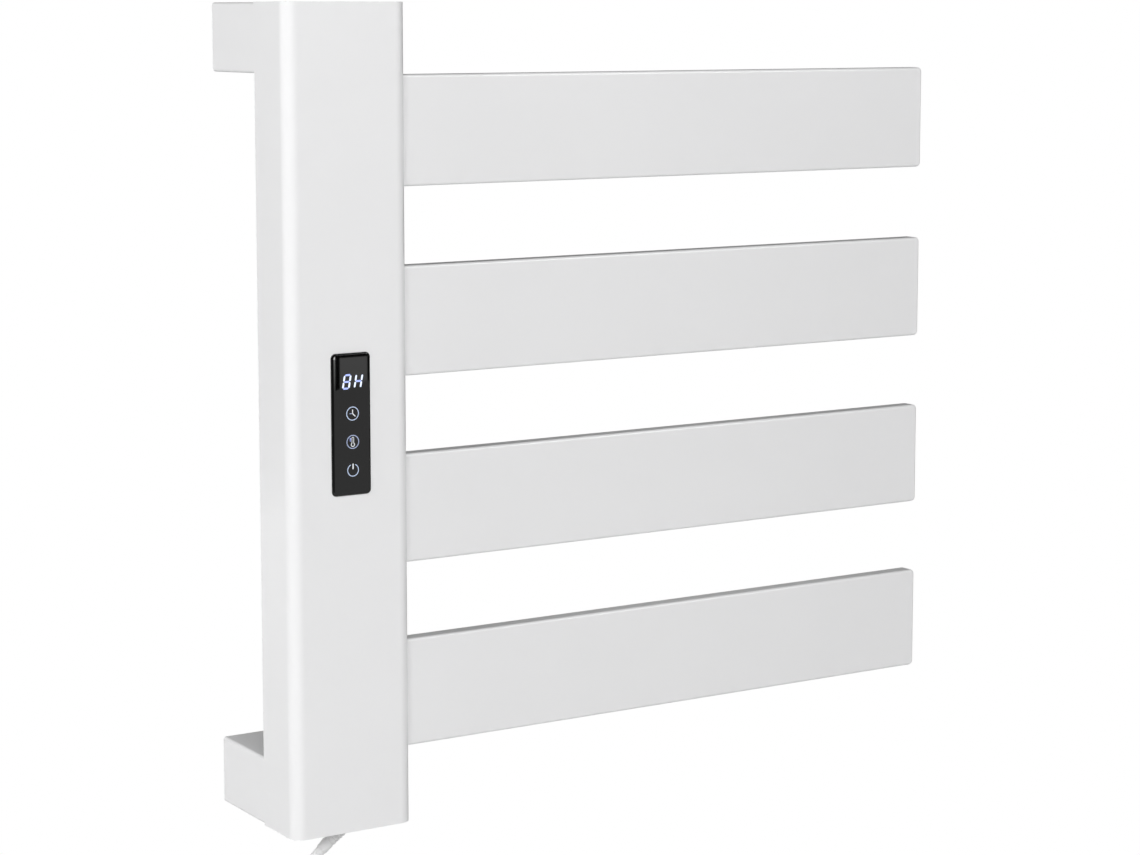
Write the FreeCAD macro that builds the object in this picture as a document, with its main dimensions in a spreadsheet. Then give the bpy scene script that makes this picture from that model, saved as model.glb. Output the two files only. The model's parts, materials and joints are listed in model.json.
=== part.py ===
import FreeCAD, Part
import math
import os
import re

import Sketcher

# A wall-hung electric towel warmer: a box column, two arms back to the wall and four flat heated bars.
# +X runs along the bars, +Y goes into the wall and +Z is up. The origin lies on the wall's face, at the
# centre of the four wall screws. "Out" is the distance from the wall, so a point that is 60 out has Y -60.
# The driving dimensions are in millimetres, and every shape below is worked out from them.
SIZES = {
    "col_width": 84, "col_depth": 43, "col_height": 520, "col_wall": 1.6, "col_corner": 8, "col_lip": 9,
    "cover_thick": 1.2, "cover_height": 432, "cap_sheet": 2, "cap_skirt": 8, "skirt_wall": 1.2,
    "arm_length": 61, "arm_height": 43.5, "arm_width": 83.4, "arm_wall": 2, "arm_inset": 0.3,
    "arm_gap": 0.4, "arm_edge": 2,
    "plate_width": 60, "plate_thick": 2, "plate_drop": 11.5, "hook_rise": 6, "hook_slot": 6, "tongue": 7,
    "hook_play": 0.3, "hanger_thick": 3, "hanger_height": 10.5,
    "wall_screw_pitch": 40, "wall_screw_hole": 5.2,
    "bar_height": 70, "bar_thick": 12, "bar_wall": 1.3, "bar_edge": 1.9, "bar_setback": 16,
    "bar_reach": 464, "bar_root": 18, "bar_pitch": 120, "slot_gap": 0.15,
    "end_thick": 4, "end_corner": 3.3, "end_plug": 8, "end_fit": 0.05, "end_wall": 1.5,
    "saddle_left": 17.5, "saddle_right": 34.4, "saddle_half": 28, "bar_screw_across": 26,
    "bar_screw_half": 14, "part_gap": 0.1, "coat_thick": 0.1,
    "gasket_thick": 1.9, "gasket_border": 3.2,
    "cable_size": 5, "cable_half": 26, "cable_end": 446, "cable_start": 15,
    "spreader_thick": 1.1, "spreader_half": 30, "spreader_left": 38, "spreader_right": 450,
    "lens_width": 27, "lens_height": 89, "lens_corner": 3, "lens_edge": 1.2, "lens_proud": 1.3,
    "lens_thick": 2.8, "lens_gap": 0.15, "housing_width": 31.8, "housing_height": 96,
    "housing_wall": 1.4, "housing_depth": 10.3, "board_thick": 1.6,
    "key_pitch": 17.6, "key_top": 6.3, "digit_across": 0.6, "digit_rise": 26.8,
    "power_left": -37, "power_right": 3, "power_top": -62, "power_bottom": -150, "power_out": 88.4,
    "standoff_length": 12.2,
    "cord_size": 6.5, "gland_across": 2, "gland_out": 82.5, "gland_size": 12,
    "coil_across": -10, "coil_rise": -375, "coil_out": 84, "coil_middle": 72,
}
BAR_COUNT = 4
PARTS = []

doc = FreeCAD.newDocument("towel_warmer")
sheet = doc.addObject("Spreadsheet::Sheet", "Sizes")
for row, (alias, number) in enumerate(SIZES.items(), start=1):
    sheet.set(f"A{row}", alias)
    sheet.set(f"B{row}", str(number))
    sheet.setAlias(f"B{row}", alias)
doc.recompute()


def bound(text):
    """Put the sheet's name before every alias in an expression."""
    return re.sub(r"[a-z_]+", lambda word: "Sizes." + word[0] if word[0] in SIZES else word[0], str(text))


def size(alias):
    """Read one driving dimension back from the sheet."""
    return float(sheet.get(alias))


def keep(part, label):
    """Name a finished sub-part and put it on the list that is exported."""
    part.Label = label
    PARTS.append(part)
    return part


# ---------------------------------------------------------------- helpers for sketched bodies
def polygon(drawing, corners):
    """Draw one closed outline whose corners are expressions measured from the sketch's origin."""
    first, count = drawing.GeometryCount, len(corners)
    turn = 2 * math.pi / count
    seeds = [FreeCAD.Vector(10 * math.cos(k * turn), 10 * math.sin(k * turn), 0) for k in range(count)]
    sides = [Part.LineSegment(seeds[k], seeds[(k + 1) % count]) for k in range(count)]
    drawing.addGeometry(sides, False)
    for k in range(count):
        drawing.addConstraint(Sketcher.Constraint("Coincident", first + k, 2, first + (k + 1) % count, 1))
    for k, corner in enumerate(corners):
        for kind, text, seed in (("DistanceX", corner[0], seeds[k].x), ("DistanceY", corner[1], seeds[k].y)):
            index = drawing.addConstraint(Sketcher.Constraint(kind, -1, 1, first + k, 1, seed))
            drawing.setExpression(f"Constraints[{index}]", bound(text))


def circle(drawing, across, up, diameter):
    """Draw one circle whose centre and diameter are expressions."""
    item = drawing.addGeometry(Part.Circle(FreeCAD.Vector(1, 1, 0), FreeCAD.Vector(0, 0, 1), 1), False)
    for constraint, text in ((Sketcher.Constraint("DistanceX", -1, 1, item, 3, 1), across),
                             (Sketcher.Constraint("DistanceY", -1, 1, item, 3, 1), up),
                             (Sketcher.Constraint("Diameter", item, 2), diameter)):
        index = drawing.addConstraint(constraint)
        drawing.setExpression(f"Constraints[{index}]", bound(text))


def rectangle(left, right, low, high):
    """Give the four corners of a rectangle."""
    return [(left, low), (right, low), (right, high), (left, high)]


def sketch(body, plane, offset, outlines=(), circles=()):
    """Put a sketch on one of the body's origin planes, moved along the plane's normal."""
    face = next(item for item in body.Origin.OriginFeatures if item.Role == plane)
    drawing = body.newObject("Sketcher::SketchObject", body.Name + "_sketch")
    drawing.AttachmentSupport = (face, [""])
    drawing.MapMode = "FlatFace"
    drawing.setExpression("AttachmentOffset.Base.z", bound(offset))
    for corners in outlines:
        polygon(drawing, corners)
    for across, up, diameter in circles:
        circle(drawing, across, up, diameter)
    doc.recompute()
    return drawing


def pad(body, drawing, length):
    """Add material along the sketch's normal."""
    feature = body.newObject("PartDesign::Pad", body.Name + "_pad")
    feature.Profile = drawing
    feature.setExpression("Length", bound(length))
    doc.recompute()
    return feature


def pocket(body, drawing, length, forward=False):
    """Remove material against the sketch's normal, or along it, and make sure that some was removed."""
    before = body.Shape.Volume
    feature = body.newObject("PartDesign::Pocket", body.Name + "_pocket")
    feature.Profile = drawing
    feature.Reversed = forward
    feature.setExpression("Length", bound(length))
    doc.recompute()
    if body.Shape.Volume > before - 0.01:
        raise RuntimeError(f"{body.Label}: a pocket removes nothing")
    return feature


def rounded(body, radius, choose):
    """Fillet the edges of the body's last shape that choose() picks."""
    picked = [f"Edge{k}" for k, edge in enumerate(body.Tip.Shape.Edges, start=1) if choose(edge)]
    base = body.Tip
    feature = body.newObject("PartDesign::Fillet", body.Name + "_fillet")
    feature.Base = (base, picked)
    feature.setExpression("Radius", bound(radius))
    doc.recompute()
    return feature


def runs_along(edge, axis):
    """Tell whether a straight edge is parallel to an axis, 0 for X, 1 for Y and 2 for Z."""
    if edge.Curve.TypeId != "Part::GeomLine":
        return False
    return abs(abs(edge.tangentAt(edge.FirstParameter)[axis]) - 1) < 1e-6


def lies_at(edge, axis, place):
    """Tell whether a whole edge lies in the plane at a place on an axis."""
    box = edge.BoundBox
    low, high = ((box.XMin, box.XMax), (box.YMin, box.YMax), (box.ZMin, box.ZMax))[axis]
    return abs(low - place) < 1e-4 and abs(high - place) < 1e-4


def new_body(label):
    """Start a sketched sub-part."""
    return keep(doc.addObject("PartDesign::Body", label), label)


# ---------------------------------------------------------------- helpers for plain solids
def block(name, across, out, up):
    """Make a box from three (low, high) pairs of expressions; out is measured from the wall."""
    part = doc.addObject("Part::Box", name)
    for prop, text in (("Length", f"({across[1]}) - ({across[0]})"), ("Width", f"({out[1]}) - ({out[0]})"),
                       ("Height", f"({up[1]}) - ({up[0]})"), ("Placement.Base.x", across[0]),
                       ("Placement.Base.y", f"-({out[1]})"), ("Placement.Base.z", up[0])):
        part.setExpression(prop, bound(text))
    return part


def rod(name, across, out, up, radius, length, axis):
    """Make a cylinder that starts at a point and runs along an axis vector."""
    part = doc.addObject("Part::Cylinder", name)
    turn = FreeCAD.Rotation(FreeCAD.Vector(0, 0, 1), FreeCAD.Vector(*axis))
    part.Placement = FreeCAD.Placement(FreeCAD.Vector(), turn)
    for prop, text in (("Radius", radius), ("Height", length), ("Placement.Base.x", across),
                       ("Placement.Base.y", f"-({out})"), ("Placement.Base.z", up)):
        part.setExpression(prop, bound(text))
    return part


def cut(name, base, tool):
    """Take one solid out of another."""
    part = doc.addObject("Part::Cut", name)
    part.Base, part.Tool = base, tool
    return part


def fused(name, shapes):
    """Join solids into one."""
    part = doc.addObject("Part::MultiFuse", name)
    part.Shapes = shapes
    return part


def softened(name, base, radius):
    """Round the edges of a box that run along X."""
    doc.recompute()
    part = doc.addObject("Part::Fillet", name)
    part.Base = base
    part.Edges = [(k, radius, radius) for k, edge in enumerate(base.Shape.Edges, start=1)
                  if runs_along(edge, 0)]
    return part


def group(label, pieces):
    """Keep separate identical solids together as one sub-part."""
    part = doc.addObject("Part::Compound", label)
    part.Links = pieces
    return keep(part, label)


RUN_SHARE = 0.45


def tube_solid(label, points, diameter):
    """Sweep a round section along straight runs joined by tangent arcs, and print the arcs' radii."""
    points = [FreeCAD.Vector(*point) for point in points]
    edges, start, radii = [], points[0], []
    for before, corner, after in zip(points, points[1:], points[2:]):
        into, onward = corner - before, after - corner
        half_turn = into.getAngle(onward) / 2
        reach = RUN_SHARE * min(into.Length, onward.Length)
        radius = reach / math.tan(half_turn)
        into.normalize()
        onward.normalize()
        inward = (onward - into).normalize()
        first, last = corner - into * reach, corner + onward * reach
        middle = corner + inward * (radius / math.cos(half_turn) - radius)
        edges += [Part.LineSegment(start, first).toShape(), Part.Arc(first, middle, last).toShape()]
        start = last
        radii.append(radius)
    edges.append(Part.LineSegment(start, points[-1]).toShape())
    path = Part.Wire(edges)
    ring = Part.Wire(Part.makeCircle(diameter / 2, points[0], points[1] - points[0]))
    solid = path.makePipeShell([ring], True, False)
    expected = math.pi * diameter ** 2 / 4 * path.Length
    if abs(solid.Volume / expected - 1) > 0.01:
        raise RuntimeError(f"{label}: the tube's volume is not its section times its length")
    print(label, "length", round(path.Length, 1), "radii", [round(radius, 1) for radius in radii])
    return solid


def shaped(label, shapes):
    """Keep solids made by Part's own functions as one sub-part."""
    part = doc.addObject("Part::Feature", label)
    part.Shape = shapes[0] if len(shapes) == 1 else Part.makeCompound(shapes)
    part.Placement = FreeCAD.Placement()
    return keep(part, label)


def screws(label, places, direction, shank, length, head, head_height):
    """Make a group of cross-head pan screws; each place is where the head meets what it holds."""
    shapes = []
    way = FreeCAD.Vector(*direction)
    for place in places:
        seat = FreeCAD.Vector(*place)
        top = seat - way * head_height
        screw = Part.makeCylinder(shank / 2, length, seat, way)
        screw = screw.fuse(Part.makeCylinder(head / 2, head_height, top, way)).removeSplitter()
        for along in (FreeCAD.Vector(1, 0, 0), FreeCAD.Vector(0, 0, 1)):
            across = way.cross(along)
            slot = Part.makeBox(head * 0.56, head * 0.14, head_height * 0.6)
            slot.translate(FreeCAD.Vector(-head * 0.28, -head * 0.07, 0))
            turn = FreeCAD.Rotation(along, across, way, "ZXY")
            slot.Placement = FreeCAD.Placement(top, turn).multiply(slot.Placement)
            screw = screw.cut(slot)
        shapes.append(screw)
    return shaped(label, shapes)


# ---------------------------------------------------------------- shared places, as expressions
COL_FRONT = "arm_length + col_depth"
BAR_FRONT = "arm_length + col_depth - bar_setback"
BAR_BACK = "arm_length + col_depth - bar_setback - bar_thick"
COL_INSIDE = "arm_length + col_depth - col_wall - part_gap"
ARM_MIDDLE = "(col_height / 2 - arm_inset - arm_height / 2)"
SCREW_ACROSS = 36.5
SMALL_SCREW = 3.0
SMALL_HOLE = "3.1"
COVER_SCREW_RISES = (-200, -70, 70, 200)
ARM_SCREW_HALF = 10


def bar_middle(number):
    """Give the height of the middle of a bar, counted from 1 at the top."""
    return f"({(BAR_COUNT + 1) / 2 - number} * bar_pitch)"


# ---------------------------------------------------------------- column
def column_profile():
    """The aluminium channel: front, two sides and turned-in lips, with the bars' slots and the window."""
    body = new_body("column_profile")
    side, back, front = "col_width / 2", "-arm_length", f"-({COL_FRONT})"
    inner, lip = "col_width / 2 - col_wall", "col_width / 2 - col_lip"
    lip_front, front_inside = "-(arm_length + col_wall)", f"-({COL_FRONT}) + col_wall"
    half = [(lip, back), (side, back), (side, front)]
    inside = [(inner, front_inside), (inner, lip_front), (lip, lip_front)]
    outline = half + [(f"-({x})", y) for x, y in reversed(half)]
    outline += [(f"-({x})", y) for x, y in reversed(inside)] + inside
    pad(body, sketch(body, "XY_Plane", "-col_height / 2", [outline]), "col_height")
    front_y = -(size("arm_length") + size("col_depth"))
    inner_x = size("col_width") / 2 - size("col_wall")
    rounded(body, "col_corner", lambda edge: runs_along(edge, 2) and lies_at(edge, 1, front_y))
    rounded(body, "col_corner - col_wall", lambda edge: runs_along(edge, 2)
            and lies_at(edge, 1, front_y + size("col_wall")) and abs(edge.BoundBox.XMin) > inner_x - 1e-4)
    slots = [rectangle(f"-({BAR_FRONT}) - slot_gap", f"-({BAR_BACK}) + slot_gap",
                       f"{bar_middle(n)} - bar_height / 2 - slot_gap",
                       f"{bar_middle(n)} + bar_height / 2 + slot_gap") for n in range(1, BAR_COUNT + 1)]
    pocket(body, sketch(body, "YZ_Plane", "col_width / 2 + col_wall", slots), "col_wall * 3")
    window = rectangle("-(lens_width / 2 + lens_gap)", "lens_width / 2 + lens_gap",
                       "-(lens_height / 2 + lens_gap)", "lens_height / 2 + lens_gap")
    pocket(body, sketch(body, "XZ_Plane", f"{COL_FRONT} + col_wall", [window]), "col_wall * 3")
    rounded(body, "lens_corner + lens_gap", lambda edge: runs_along(edge, 1)
            and abs(abs(edge.BoundBox.XMin) - size("lens_width") / 2 - size("lens_gap")) < 1e-4
            and edge.BoundBox.YMax < front_y + 2 * size("col_wall"))
    holes = [(across, rise, SMALL_HOLE) for across in (-SCREW_ACROSS, SCREW_ACROSS)
             for rise in COVER_SCREW_RISES]
    holes += [(across, f"{sign}{ARM_MIDDLE} + {step}", SMALL_HOLE) for across in (-SCREW_ACROSS, SCREW_ACROSS)
              for sign in ("", "-") for step in (-ARM_SCREW_HALF, ARM_SCREW_HALF)]
    pocket(body, sketch(body, "XZ_Plane", "arm_length + 2 * col_wall", circles=holes), "col_wall * 3")


def column_back_cover():
    """The flat sheet that closes the channel between the arms."""
    body = new_body("column_back_cover")
    outline = rectangle("-(col_width / 2 - 1.5)", "col_width / 2 - 1.5", "-cover_height / 2",
                        "cover_height / 2")
    holes = [(across, rise, SMALL_HOLE) for across in (-SCREW_ACROSS, SCREW_ACROSS)
             for rise in COVER_SCREW_RISES]
    pad(body, sketch(body, "XZ_Plane", "arm_length - cover_thick", [outline], holes), "cover_thick")
    rounded(body, "3", lambda edge: runs_along(edge, 1))


def column_cap(label, top):
    """An end cap: a flat sheet with a skirt inside the channel; the lower one has the cord's hole."""
    body = new_body(label)
    side, tongue = "col_width / 2 - col_wall - part_gap", "col_width / 2 - col_lip - part_gap"
    front, lip = f"-({COL_INSIDE})", "-(arm_length + col_wall + part_gap)"
    outline = [(f"-({side})", front), (side, front), (side, lip), (tongue, lip), (tongue, "-arm_length"),
               (f"-({tongue})", "-arm_length"), (f"-({tongue})", lip), (f"-({side})", lip)]
    offset = "col_height / 2 - cap_sheet" if top else "-col_height / 2"
    pad(body, sketch(body, "XY_Plane", offset, [outline]), "cap_sheet")
    rings = [rectangle(f"-({side})", side, front, lip),
             rectangle(f"-({side}) + skirt_wall", f"{side} - skirt_wall", f"{front} + skirt_wall",
                       f"{lip} - skirt_wall")]
    start = "col_height / 2 - cap_sheet - cap_skirt" if top else "-col_height / 2 + cap_sheet"
    pad(body, sketch(body, "XY_Plane", start, rings), "cap_skirt")
    front_y = -(size("arm_length") + size("col_depth") - size("col_wall") - size("part_gap"))
    skirt_y = front_y + size("skirt_wall")
    rounded(body, "col_corner - col_wall - skirt_wall", lambda edge: runs_along(edge, 2)
            and lies_at(edge, 1, skirt_y))
    rounded(body, "col_corner - col_wall", lambda edge: runs_along(edge, 2) and lies_at(edge, 1, front_y))
    if not top:
        hole = [("gland_across", "-gland_out", "gland_size + 0.3")]
        drawing = sketch(body, "XY_Plane", "-col_height / 2 + cap_sheet * 2", circles=hole)
        pocket(body, drawing, "cap_sheet * 3")


# ---------------------------------------------------------------- arms and wall mounting
def arm(label, sign):
    """A stand-off arm: a rectangular tube, open at the wall, with a web screwed to the column."""
    body = new_body(label)
    middle = f"{sign}{ARM_MIDDLE}"
    outer = rectangle("-arm_width / 2", "arm_width / 2", f"{middle} - arm_height / 2",
                      f"{middle} + arm_height / 2")
    inner = rectangle("-arm_width / 2 + arm_wall", "arm_width / 2 - arm_wall",
                      f"{middle} - arm_height / 2 + arm_wall", f"{middle} + arm_height / 2 - arm_wall")
    pad(body, sketch(body, "XZ_Plane", "arm_gap", [outer]), "arm_length - arm_gap")
    rounded(body, "arm_edge", lambda edge: runs_along(edge, 1))
    pocket(body, sketch(body, "XZ_Plane", "arm_gap", [inner]), "arm_length - arm_gap - arm_wall", True)
    holes = [(across, f"{middle} + {step}", SMALL_HOLE) for across in (-SCREW_ACROSS, SCREW_ACROSS)
             for step in (-ARM_SCREW_HALF, ARM_SCREW_HALF)]
    wire = [("gland_across", middle, "9")]
    pocket(body, sketch(body, "XZ_Plane", "arm_length + arm_wall", circles=holes + wire), "arm_wall * 3")


def hanger(label, sign):
    """The steel strap across the inside of an arm that hangs on the wall plate's hook."""
    low = f"{sign}{ARM_MIDDLE} + hook_rise + plate_thick + hook_play"
    edge = "arm_width / 2 - arm_wall - part_gap / 2"
    start = "plate_thick + (hook_slot - hanger_thick) / 2"
    strap = block(label + "_strap", (f"-({edge})", edge), (start, f"{start} + hanger_thick"),
                  (low, f"{low} + hanger_height"))
    keep(softened(label, strap, 1.0), label)


def wall_plate(label, sign):
    """A steel plate screwed to the wall, bent at its top into a hook that faces up."""
    body = new_body(label)
    middle = f"{sign}{ARM_MIDDLE}"
    low, floor = f"{middle} - plate_drop", f"{middle} + hook_rise"
    seat = f"{floor} + plate_thick"
    tip = f"{seat} + tongue"
    slot, lip = "-(plate_thick + hook_slot)", "-(2 * plate_thick + hook_slot)"
    outline = [("0", low), ("0", seat), (slot, seat), (slot, tip), (lip, tip), (lip, floor),
               ("-plate_thick", floor), ("-plate_thick", low)]
    pad(body, sketch(body, "YZ_Plane", "-plate_width / 2", [outline]), "plate_width")
    holes = [(f"{side}wall_screw_pitch / 2", middle, "wall_screw_hole") for side in ("-", "")]
    pocket(body, sketch(body, "XZ_Plane", "2 * plate_thick", circles=holes), "plate_thick * 3")
    tip_height = sum(size(name) for name in ("hook_rise", "plate_thick", "tongue"))
    arm_rise = size("col_height") / 2 - size("arm_inset") - size("arm_height") / 2
    tip_z = (arm_rise if sign == "" else -arm_rise) + tip_height
    rounded(body, "0.6", lambda edge: runs_along(edge, 0) and lies_at(edge, 2, tip_z))


# ---------------------------------------------------------------- bars
def bar(number):
    """One bar: a flat aluminium tube whose end in the column is left uncoated, for the earth contact."""
    middle = bar_middle(number)
    coat_edge = "col_width / 2 + part_gap"
    lengths = []
    for name, coat, start, end in (("coated", "0", coat_edge, "bar_reach - end_thick"),
                                   ("seat", "coat_thick", "bar_root", coat_edge)):
        plain = block(f"bar_{name}_{number}", (start, end), (f"{BAR_BACK} + {coat}", f"{BAR_FRONT} - {coat}"),
                      (f"{middle} - bar_height / 2 + {coat}", f"{middle} + bar_height / 2 - {coat}"))
        lengths.append(softened(f"bar_{name}_rounded_{number}", plain, size("bar_edge")))
    hollow = block(f"bar_hollow_{number}", ("bar_root - 1", "bar_reach"),
                   (f"{BAR_BACK} + bar_wall", f"{BAR_FRONT} - bar_wall"),
                   (f"{middle} - bar_height / 2 + bar_wall", f"{middle} + bar_height / 2 - bar_wall"))
    holes = [rod(f"bar_hole_{number}_{k}", "bar_screw_across", f"{BAR_FRONT} + 1",
                 f"{middle} {sign} bar_screw_half", "2.1", "bar_thick + 2", (0, 1, 0))
             for k, sign in enumerate("+-")]
    keep(cut(f"bar_{number}", fused(f"bar_outside_{number}", lengths),
             fused(f"bar_inside_{number}", [hollow, *holes])), f"bar_{number}")


def bar_end_cap(number):
    """The cap that closes a bar's free end, with a hollow plug pressed into the tube."""
    body = new_body(f"bar_end_cap_{number}")
    middle = bar_middle(number)
    outline = rectangle("bar_reach - end_thick", "bar_reach", f"{middle} - bar_height / 2",
                        f"{middle} + bar_height / 2")
    pad(body, sketch(body, "XZ_Plane", BAR_BACK, [outline]), "bar_thick")
    reach = size("bar_reach")
    rounded(body, "end_corner", lambda edge: runs_along(edge, 1) and lies_at(edge, 0, reach))
    front = -(size("arm_length") + size("col_depth") - size("bar_setback"))
    back = front + size("bar_thick")
    rounded(body, "bar_edge", lambda edge: (lies_at(edge, 1, front) or lies_at(edge, 1, back))
            and edge.BoundBox.XMax > reach - size("end_thick") + 0.01)
    inset = "bar_wall + end_fit"
    low, high = f"{middle} - bar_height / 2 + {inset}", f"{middle} + bar_height / 2 - ({inset})"
    near, far = f"-({BAR_FRONT}) + {inset}", f"-({BAR_BACK}) - ({inset})"
    rings = [rectangle(near, far, low, high),
             rectangle(f"{near} + end_wall", f"{far} - end_wall", f"{low} + end_wall", f"{high} - end_wall")]
    start = "bar_reach - end_thick - end_plug"
    pad(body, sketch(body, "YZ_Plane", start, rings), "end_plug")


def bar_saddle(number):
    """The block inside the column that a bar is screwed to."""
    body = new_body(f"bar_saddle_{number}")
    middle = bar_middle(number)
    outline = rectangle("saddle_left", "saddle_right", f"{middle} - saddle_half", f"{middle} + saddle_half")
    holes = [("bar_screw_across", f"{middle} {sign} bar_screw_half", "4.1") for sign in "+-"]
    depth = f"{COL_INSIDE} - ({BAR_FRONT}) - part_gap"
    pad(body, sketch(body, "XZ_Plane", f"{BAR_FRONT} + part_gap", [outline], holes), depth)
    relief = rectangle("saddle_left + 4", "saddle_right - 4", f"{middle} - 6", f"{middle} + 6")
    pocket(body, sketch(body, "XZ_Plane", f"{COL_INSIDE} + 1", [relief]), "9")


def slot_gaskets():
    """Silicone frames inside the column's side, one round each bar."""
    frames = []
    for number in range(1, BAR_COUNT + 1):
        middle = bar_middle(number)
        right = "col_width / 2 - col_wall - part_gap"
        across = (f"{right} - gasket_thick", right)
        sheet_block = block(f"gasket_sheet_{number}", across,
                            (f"{BAR_BACK} - gasket_border", f"{BAR_FRONT} + gasket_border"),
                            (f"{middle} - bar_height / 2 - gasket_border",
                             f"{middle} + bar_height / 2 + gasket_border"))
        hole = block(f"gasket_hole_{number}", (f"{across[0]} - 1", f"{across[1]} + 1"),
                     (f"{BAR_BACK} - end_fit", f"{BAR_FRONT} + end_fit"),
                     (f"{middle} - bar_height / 2 - end_fit", f"{middle} + bar_height / 2 + end_fit"))
        frames.append(cut(f"gasket_{number}", sheet_block, hole))
    group("slot_gaskets", frames)


def heat_spreaders():
    """Thin aluminium sheets on the inside of each bar's front, which carry the heat to its edges."""
    out = f"{BAR_FRONT} - bar_wall - part_gap / 2"
    group("heat_spreaders", [
        block(f"spreader_{number}", ("spreader_left", "spreader_right"), (f"{out} - spreader_thick", out),
              (f"{bar_middle(number)} - spreader_half", f"{bar_middle(number)} + spreader_half"))
        for number in range(1, BAR_COUNT + 1)])


def cable_out():
    """Give how far out from the wall the middle of the heating cable lies."""
    front = size("arm_length") + size("col_depth") - size("bar_setback")
    return front - size("bar_wall") - size("part_gap") - size("spreader_thick") - size("cable_size") / 2


def bar_rise(number):
    """Give the height of the middle of a bar as a number."""
    return ((BAR_COUNT + 1) / 2 - number) * size("bar_pitch")


def heating_cable(number):
    """A loop of heating cable that lies against the spreader from the root to the free end and back."""
    y, rise, half = -cable_out(), bar_rise(number), size("cable_half")
    start, end = size("cable_start"), size("cable_end")
    points = [(start, y, rise + half), (end, y, rise + half), (end, y, rise - half), (start, y, rise - half)]
    label = f"heating_cable_{number}"
    shaped(label, [tube_solid(label, points, size("cable_size"))])


# ---------------------------------------------------------------- touch panel
def touch_lens():
    """The black glossy lens with rounded edges that stands a little proud of the column's front."""
    body = new_body("touch_lens")
    outline = rectangle("-lens_width / 2", "lens_width / 2", "-lens_height / 2", "lens_height / 2")
    pad(body, sketch(body, "XZ_Plane", f"{COL_FRONT} + lens_proud - lens_thick", [outline]), "lens_thick")
    rounded(body, "lens_corner", lambda edge: runs_along(edge, 1))
    front = -(size("arm_length") + size("col_depth") + size("lens_proud"))
    rounded(body, "lens_edge", lambda edge: lies_at(edge, 1, front))


def lens_housing():
    """The plastic frame behind the window that holds the lens and the touch board."""
    body = new_body("lens_housing")
    outer = rectangle("-housing_width / 2", "housing_width / 2", "-housing_height / 2",
                      "housing_height / 2")
    inner = rectangle("-housing_width / 2 + housing_wall", "housing_width / 2 - housing_wall",
                      "-housing_height / 2 + housing_wall", "housing_height / 2 - housing_wall")
    start = f"{COL_INSIDE} - housing_depth"
    pad(body, sketch(body, "XZ_Plane", start, [outer, inner]), "housing_depth")


BOARD_BACK = 97.4
KEY_COUNT = 3


def touch_electronics():
    """The touch board, the display module, the springs under the keys and the ribbon to the power board."""
    front = f"{BOARD_BACK} + board_thick"
    keep(block("touch_board", ("-13.8", "13.8"), (str(BOARD_BACK), front), ("-45.5", "45.5")), "touch_board")
    behind_lens = f"{COL_FRONT} + lens_proud - lens_thick - part_gap"
    keep(block("display_module", ("digit_across - 10", "digit_across + 10"), (f"{front} + 0.05", behind_lens),
               ("digit_rise - 7", "digit_rise + 7")), "display_module")
    springs = []
    for key in range(KEY_COUNT):
        place = ("0", behind_lens, f"key_top - {key} * key_pitch")
        length = f"{behind_lens} - ({front}) - 0.05"
        outer = rod(f"spring_outer_{key}", *place, "4.2", length, (0, 1, 0))
        bore = rod(f"spring_bore_{key}", *place, "3.4", length, (0, 1, 0))
        springs.append(cut(f"spring_{key}", outer, bore))
    group("touch_springs", springs)
    body = new_body("display_ribbon")
    line = [(-97.0, -34), (-97.0, -38), (-90.4, -44), (-90.4, -50), (-87.9, -58), (-87.9, -66)]
    outline = line + [(across + 0.35, up + 0.2) for across, up in reversed(line)]
    pad(body, sketch(body, "YZ_Plane", "-13.5", [outline]), "10")


# ---------------------------------------------------------------- power board and wiring
BOARD_CORNERS = [(x, z) for x in (-31, 0.2) for z in (-147.2, -64.8)]


def power_electronics():
    """The power board on its standoffs, with the parts soldered to its back."""
    out, back = ("power_out", "power_out + board_thick"), "power_out - 0.05"
    plain = block("power_board_plain", ("power_left", "power_right"), out, ("power_bottom", "power_top"))
    holes = [rod(f"power_board_hole_{k}", str(x), "power_out + board_thick + 1", str(z), "1.2", "9",
                 (0, 1, 0)) for k, (x, z) in enumerate(BOARD_CORNERS)]
    keep(cut("power_board", plain, fused("power_board_holes", holes)), "power_board")
    core = block("transformer_core", ("-34", "-10"), ("68", back), ("-93", "-71"))
    winding = block("transformer_winding", ("-31", "-13"), ("66", "80"), ("-96", "-68"))
    keep(fused("transformer", [core, winding]), "transformer")
    keep(block("relay", ("-7", "3"), ("72.6", back), ("-95", "-75")), "relay")
    keep(block("filter_capacitor", ("-34", "-16"), ("73", back), ("-113", "-101")), "filter_capacitor")
    glass = rod("fuse_tube", "-7", "84", "-122", "2.5", "20", (0, 0, 1))
    ends = [rod(f"fuse_end_{k}", "-7", "84", rise, "3.1", "5", (0, 0, 1)) for k, rise in
            enumerate(("-123", "-106"))]
    keep(fused("fuse", [glass] + ends), "fuse")
    body = new_body("terminal_block")
    outline = rectangle("-27", "-4", "-148", "-136")
    pad(body, sketch(body, "XZ_Plane", "76", [outline]), "power_out - 76 - 0.05")
    wells = [(-24 + 5.6 * k, "-142", "3.6") for k in range(4)]
    pocket(body, sketch(body, "XZ_Plane", "75", circles=wells), "8", True)
    group("board_standoffs", [
        cut(f"standoff_{k}", rod(f"standoff_post_{k}", *place, "3", "standoff_length", (0, 1, 0)),
            rod(f"standoff_bore_{k}", *place, "1.2", "standoff_length + 1", (0, 1, 0)))
        for k, place in enumerate((str(x), COL_INSIDE, str(z)) for x, z in BOARD_CORNERS)])
    seat = -(size("power_out") - 0.05)
    screws("board_screws", [(x, seat, z) for x, z in BOARD_CORNERS], (0, -1, 0), 2.2, 9, 4.6, 1.8)


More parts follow.
